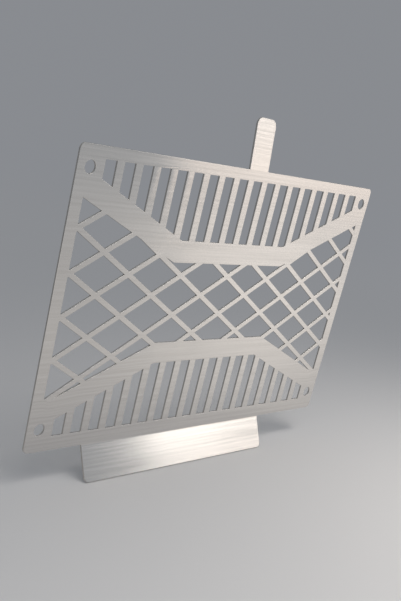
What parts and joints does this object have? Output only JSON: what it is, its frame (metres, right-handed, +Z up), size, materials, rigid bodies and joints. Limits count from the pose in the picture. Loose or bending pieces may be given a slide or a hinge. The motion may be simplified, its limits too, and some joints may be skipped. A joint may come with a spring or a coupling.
{
  "type": "motorcycle radiator guard",
  "caption": "Laser-cut and folded stainless sheet that shields a motorcycle radiator: rows of upright slots above and below a diamond mesh, a lip folded forward at the foot and a tab on top.",
  "frame": {"origin": "middle of the four corner holes, on the sheet's back face, which seats on the radiator's frame", "axes": "+Z up the sheet toward the tab, +X to the right as seen from the front, with the front face and the lip toward -Y"},
  "size_m": [0.304, 0.016, 0.2508],
  "materials": {
    "brushed_sheet": "stainless sheet, brushed across its width, bare, with laser-cut edges"
  },
  "bodies": {
    "root": {"guard_sheet": "brushed_sheet"}
  },
  "joints": []
}
